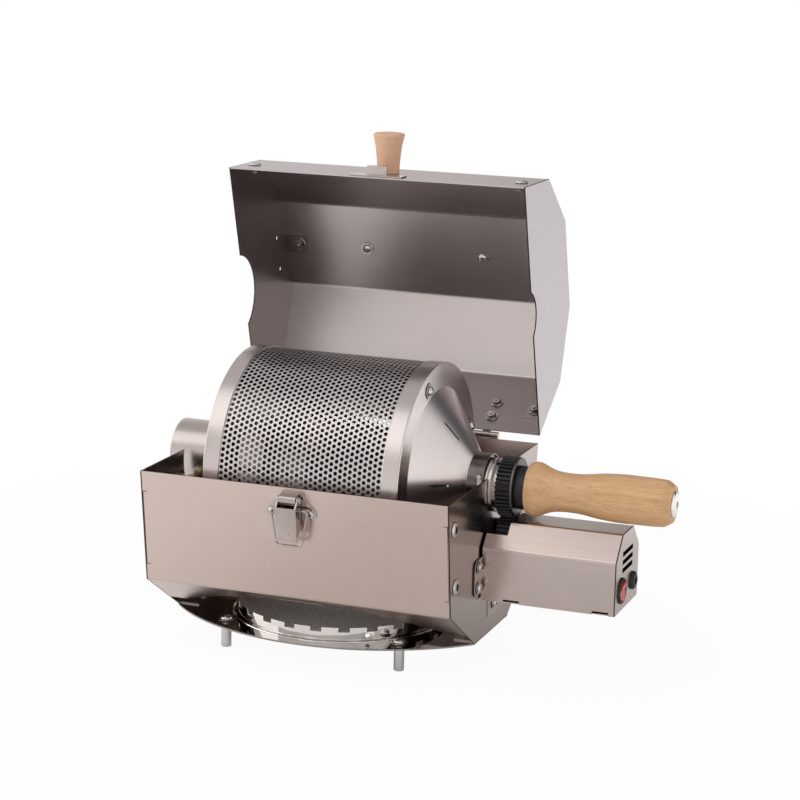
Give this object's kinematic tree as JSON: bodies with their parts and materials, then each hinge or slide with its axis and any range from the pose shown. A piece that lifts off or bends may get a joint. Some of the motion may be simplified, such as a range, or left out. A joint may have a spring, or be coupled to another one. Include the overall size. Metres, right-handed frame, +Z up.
{
  "type": "home coffee bean roaster",
  "caption": "Countertop coffee bean roaster: steel housing on legs with a hinged lid, a perforated rotating drum with wooden handle, gear motor box and flame ring.",
  "frame": {"origin": "on the floor plane that the leg ends stand on, at the centre of the four legs", "axes": "+X along the drum towards the wooden handle, +Y towards the lid's hinges at the back, +Z up"},
  "size_m": [0.458, 0.3439, 0.4408],
  "materials": {
    "steel": "brushed",
    "bright": "polished",
    "mirror_steel": "mirror polished",
    "screw": "bright",
    "dark_steel": "satin, heat-stained",
    "brass": "satin",
    "alu": "satin",
    "black_plastic": "satin",
    "red_plastic": "gloss",
    "beech": "oiled beech",
    "handle_wood": "oiled wood",
    "mesh": "woven mesh"
  },
  "bodies": {
    "body": {"front_sheet": "steel", "rear_sheet": "steel", "left_end_panel": "mirror_steel", "right_end_panel": "mirror_steel", "end_panel_screws": "screw", "base_plate": "mirror_steel", "base_rivets": "steel", "flame_ring": "bright", "flame_mesh": "mesh", "legs": "bright", "leg_screws": "screw", "roller_pins": "bright", "bearing_collar": "steel", "hinge_lower_leaves": "steel", "hinge_pins": "bright", "hinge_lower_screws": "screw", "latch_base": "steel", "latch_screws": "screw", "latch_pivot_pin": "bright", "motor_cover": "steel", "motor_end_plate": "steel", "motor_bottom_plate": "steel", "motor_cover_screws": "screw", "motor_bracket": "steel", "gearbox": "alu", "motor": "dark_steel", "switch_bezel": "black_plastic", "dc_jack": "black_plastic"},
    "lid": {"lid_sheet": "steel", "lid_left_cheek": "steel", "lid_right_cheek": "steel", "lid_cheek_screws": "screw", "lid_cheek_nuts": "screw", "lid_inner_screws": "screw", "lid_top_nuts": "screw", "hinge_upper_leaves": "steel", "hinge_upper_screws": "screw", "strike_plate": "steel", "lid_knob": "beech"},
    "drum": {"drum_mesh": "steel", "drum_left_ring": "steel", "drum_right_ring": "steel", "drum_end_disc": "steel", "outlet_tube": "steel", "drum_cone": "steel", "drum_cone_screws": "screw", "drum_vanes": "steel", "drum_neck": "dark_steel", "drive_sleeve": "dark_steel", "drum_gear": "black_plastic", "gear_disc": "bright", "handle_ferrule": "black_plastic", "handle": "handle_wood", "handle_bolt": "bright"},
    "pinion": {"motor_pinion": "black_plastic"},
    "roller_front": {"front_roller": "brass"},
    "roller_rear": {"rear_roller": "brass"},
    "lever": {"latch_lever": "steel"},
    "bail": {"latch_bail": "bright"},
    "rocker": {"rocker_button": "red_plastic"}
  },
  "joints": [
    {"name": "lid_hinge", "type": "hinge", "parent": "body", "child": "lid", "pos_m": [0, 0.1255, 0.1665], "axis": [1, 0, 0], "range_deg": [0, 74.5]},
    {"name": "drum_spin", "type": "hinge", "parent": "body", "child": "drum", "pos_m": [0, 0, 0.154], "axis": [1, 0, 0], "continuous": true},
    {"name": "pinion_spin", "type": "hinge", "parent": "body", "child": "pinion", "pos_m": [0.154, 0, 0.11025], "axis": [1, 0, 0], "continuous": true},
    {"name": "front_roller_spin", "type": "hinge", "parent": "body", "child": "roller_front", "pos_m": [-0.133, -0.03389, 0.12704], "axis": [1, 0, 0], "continuous": true},
    {"name": "rear_roller_spin", "type": "hinge", "parent": "body", "child": "roller_rear", "pos_m": [-0.133, 0.03389, 0.12704], "axis": [1, 0, 0], "continuous": true},
    {"name": "latch_lever_pivot", "type": "hinge", "parent": "body", "child": "lever", "pos_m": [0, -0.12739, 0.15482], "axis": [-1, 0, 0], "range_deg": [0, 85]},
    {"name": "latch_bail_pivot", "type": "hinge", "parent": "lever", "child": "bail", "pos_m": [0, -0.12627, 0.14589], "axis": [-1, 0, 0], "range_deg": [0, 90]},
    {"name": "power_rocker", "type": "hinge", "parent": "body", "child": "rocker", "pos_m": [0.258, -0.017, 0.07825], "axis": [0, -1, 0], "range_deg": [0, 12]}
  ],
  "couplings": [
    {"joint": "pinion_spin", "follows": "drum_spin", "ratio": -1.3333},
    {"joint": "front_roller_spin", "follows": "drum_spin", "ratio": -2.0714},
    {"joint": "rear_roller_spin", "follows": "drum_spin", "ratio": -2.0714}
  ]
}
